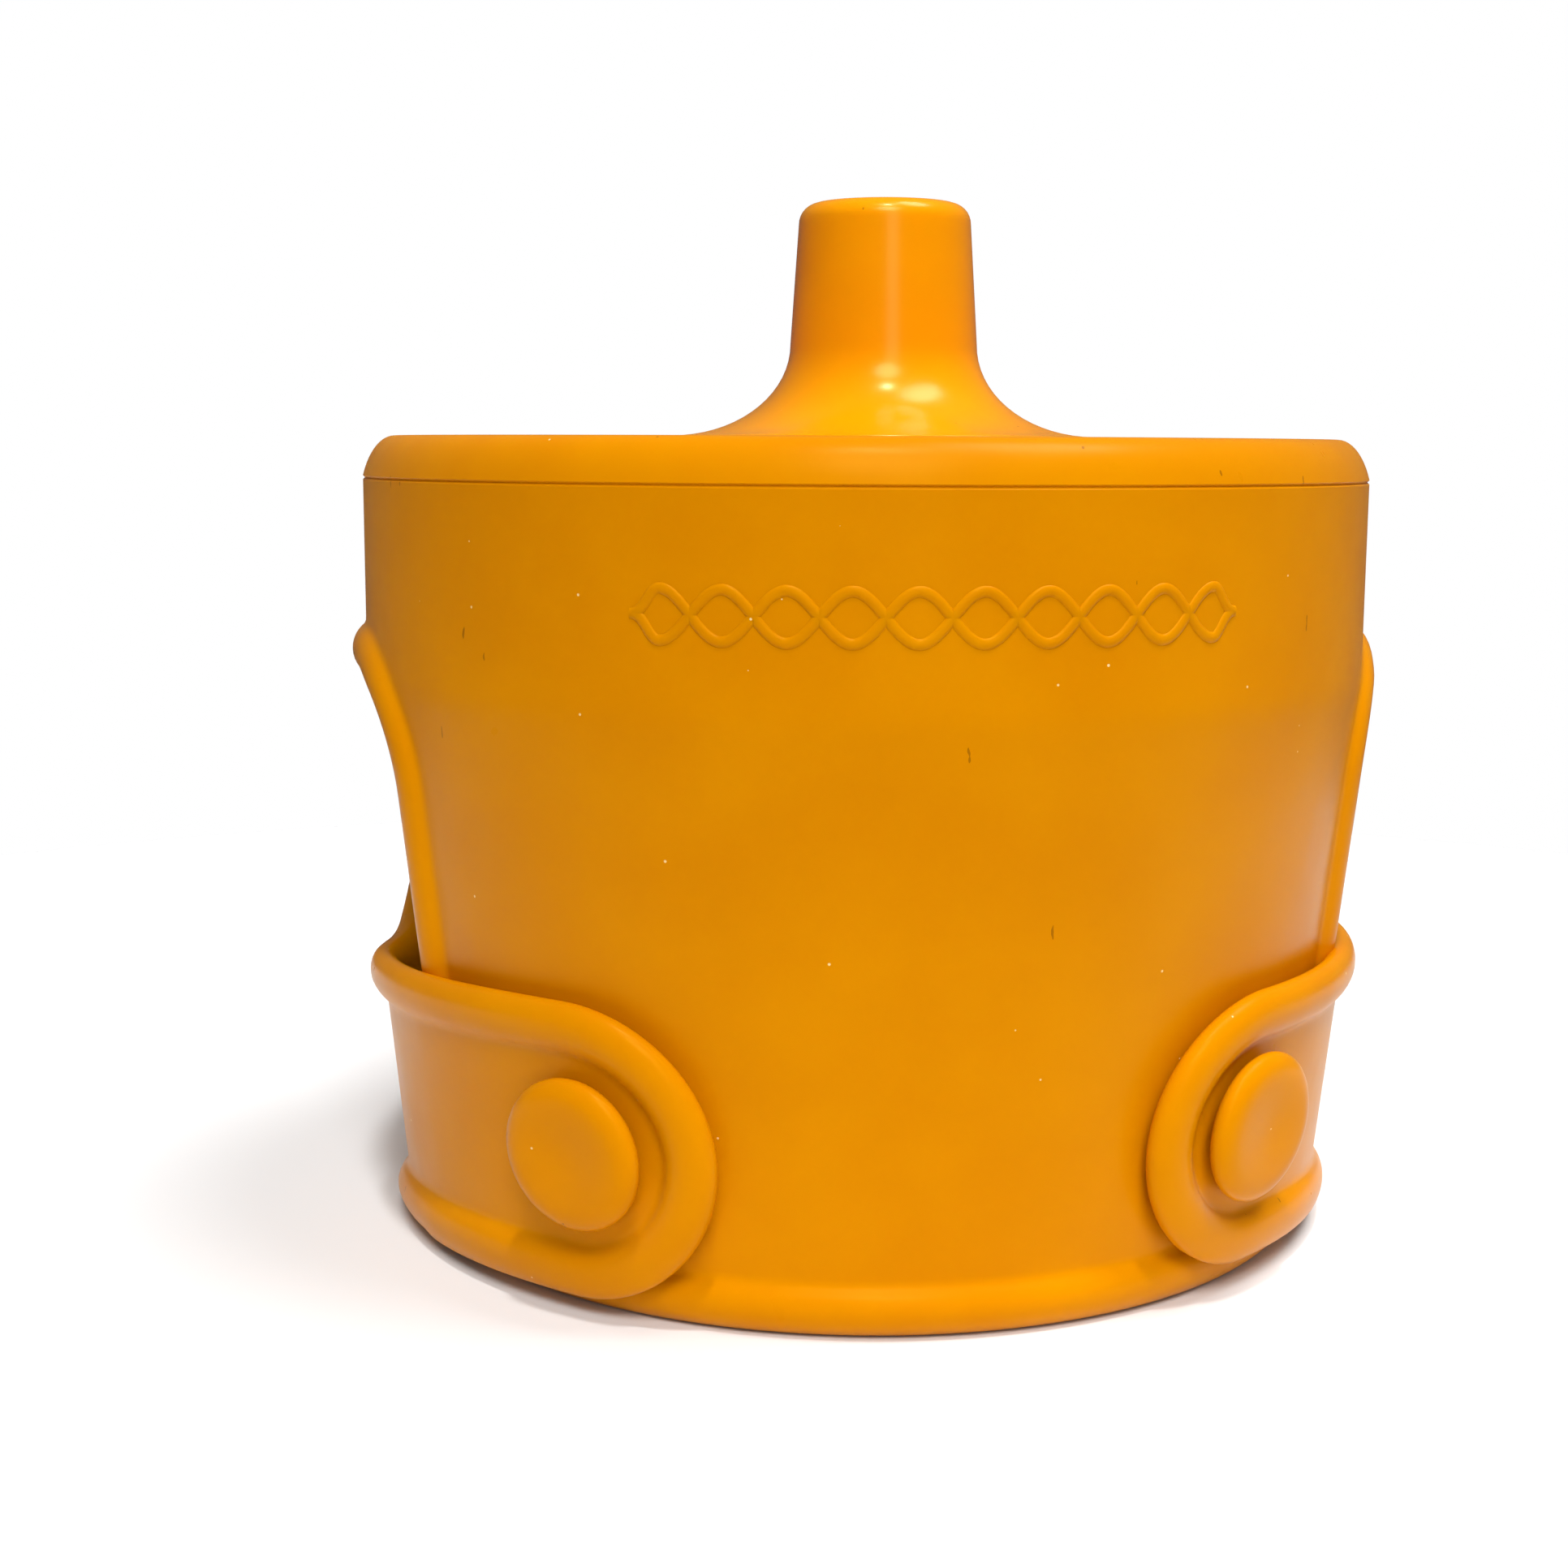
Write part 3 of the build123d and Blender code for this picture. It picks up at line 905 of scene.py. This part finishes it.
class HOLDERCAP_OT_stage(bpy.types.Operator):
    """Make the pale floor, the soft studio light and the camera"""

    bl_idname = "holder_cap.stage"
    bl_label = "Stage"

    def sun(self, name, direction, strength, spread):
        """A soft distant light that shines along a direction."""
        light = bpy.data.lights.new(name, "SUN")
        light.energy = strength
        light.angle = np.radians(spread)
        lamp = bpy.data.objects.new(name, light)
        lamp.rotation_mode = "QUATERNION"
        lamp.rotation_quaternion = Vector(direction).to_track_quat("-Z", "Y")
        bpy.context.collection.objects.link(lamp)

    def panel_light(self, place, extent, power):
        """An upright softbox that faces the middle of the cap."""
        light = bpy.data.lights.new("front_softbox", "AREA")
        light.shape = "RECTANGLE"
        light.size, light.size_y = extent
        light.energy = power
        lamp = bpy.data.objects.new("front_softbox", light)
        lamp.location = place
        lamp.rotation_mode = "QUATERNION"
        target = Vector((0, 0, 30 * MM))
        aim = target - Vector(place)
        lamp.rotation_quaternion = aim.to_track_quat("-Z", "Y")
        bpy.context.collection.objects.link(lamp)

    def execute(self, context):
        scene, stage = context.scene, context.scene.holder_cap_stage
        a = np.linspace(0, 2 * PI, 128, endpoint=False)
        disc = stage.floor * np.stack([np.cos(a), np.sin(a), 0 * a], -1)
        mesh = bpy.data.meshes.new("studio_floor")
        mesh.from_pydata(disc, [], [range(len(disc))])
        paint = bpy.data.materials.new("matt_white_paint")
        paint.use_nodes = True
        shader = paint.node_tree.nodes["Principled BSDF"]
        shader.inputs["Base Color"].default_value = linear("e4e4e4")
        shader.inputs["Roughness"].default_value = 0.9
        shader.inputs["Specular IOR Level"].default_value = 0.1
        mesh.materials.append(paint)
        floor = bpy.data.objects.new("studio_floor", mesh)
        context.collection.objects.link(floor)

        world = bpy.data.worlds.new("studio_world")
        world.use_nodes = True
        # The backdrop shows white, and lights the cap more dimly than it shows.
        tree = world.node_tree
        backdrop = tree.nodes["Background"]
        backdrop.inputs["Color"].default_value = (1, 1, 1, 1)
        seen = node(tree, "ShaderNodeLightPath").outputs["Is Camera Ray"]
        glow = node(
            tree, "ShaderNodeMapRange", {"To Min": stage.ambient, "To Max": 1.0}, {"Value": seen}
        )
        tree.links.new(glow.outputs["Result"], backdrop.inputs["Strength"])
        scene.world = world
        # Each distant light: name, direction it shines in, strength, and spread in degrees.
        suns = (
            ("key_softbox", (0.05, 0.85, -1.0), stage.key, 22),
            ("right_softbox", (-0.5, 0.08, -1.3), stage.right, 24),
            ("crown_lamp", (0.0, 0.3, -1.0), stage.crown, 4),
        )
        for sun in suns:
            self.sun(*sun)
        panel_place, panel_size = (0.02, -0.62, 0.30), (0.16, 0.5)
        self.panel_light(panel_place, panel_size, stage.front)
        scene.view_settings.view_transform = "Standard"

        camera = bpy.data.objects.new("camera", bpy.data.cameras.new("camera"))
        context.collection.objects.link(camera)
        camera.data.sensor_width = 36.0
        camera.data.lens = 52.17
        camera.data.clip_start = 0.01
        camera.data.clip_end = 200.0
        place, look = Vector((-24.22, -161.59, 53.75)), Vector((0.1137, 0.9826, -0.1468))
        tilt = 0.28  # degrees
        camera.location = place * MM
        upright = look.to_track_quat("-Z", "Y").to_matrix()
        roll = Matrix.Rotation(np.radians(tilt), 3, "Z")
        camera.rotation_mode = "QUATERNION"
        camera.rotation_quaternion = (upright @ roll).to_quaternion()
        scene.camera = camera
        return {"FINISHED"}


OPERATORS = (
    HOLDERCAP_OT_stage,
    HOLDERCAP_OT_cup,
    HOLDERCAP_OT_nozzle,
    HOLDERCAP_OT_studs,
    HOLDERCAP_OT_arms,
    HOLDERCAP_OT_relief,
)


class HOLDERCAP_PT_panel(bpy.types.Panel):
    """Sidebar panel with the cap's sizes and its operators"""

    bl_idname = "HOLDERCAP_PT_panel"
    bl_label = "Holder Cap"
    bl_space_type = "VIEW_3D"
    bl_region_type = "UI"
    bl_category = "Holder Cap"

    def draw(self, context):
        for group in GROUPS:
            settings = getattr(context.scene, group)
            box = self.layout.box()
            for name in settings.bl_rna.properties.keys():
                if name not in ("rna_type", "name"):
                    box.prop(settings, name)
        for operator in OPERATORS:
            self.layout.operator(operator.bl_idname)


GROUPS = {
    "holder_cap_cup": HolderCapCup,
    "holder_cap_strap": HolderCapStrap,
    "holder_cap_nozzle": HolderCapNozzle,
    "holder_cap_finish": HolderCapFinish,
    "holder_cap_stage": HolderCapStage,
}


def register():
    for name, group in GROUPS.items():
        bpy.utils.register_class(group)
        setattr(bpy.types.Scene, name, bpy.props.PointerProperty(type=group))
    for operator in OPERATORS:
        bpy.utils.register_class(operator)
    bpy.utils.register_class(HOLDERCAP_PT_panel)


def unregister():
    bpy.utils.unregister_class(HOLDERCAP_PT_panel)
    for operator in reversed(OPERATORS):
        bpy.utils.unregister_class(operator)
    for name, group in GROUPS.items():
        delattr(bpy.types.Scene, name)
        bpy.utils.unregister_class(group)


def main():
    register()
    bpy.ops.holder_cap.stage()
    bpy.ops.holder_cap.cup()
    bpy.ops.holder_cap.nozzle()
    bpy.ops.holder_cap.studs()
    bpy.ops.holder_cap.arms()
    bpy.ops.holder_cap.relief()


if __name__ == "__main__":
    main()
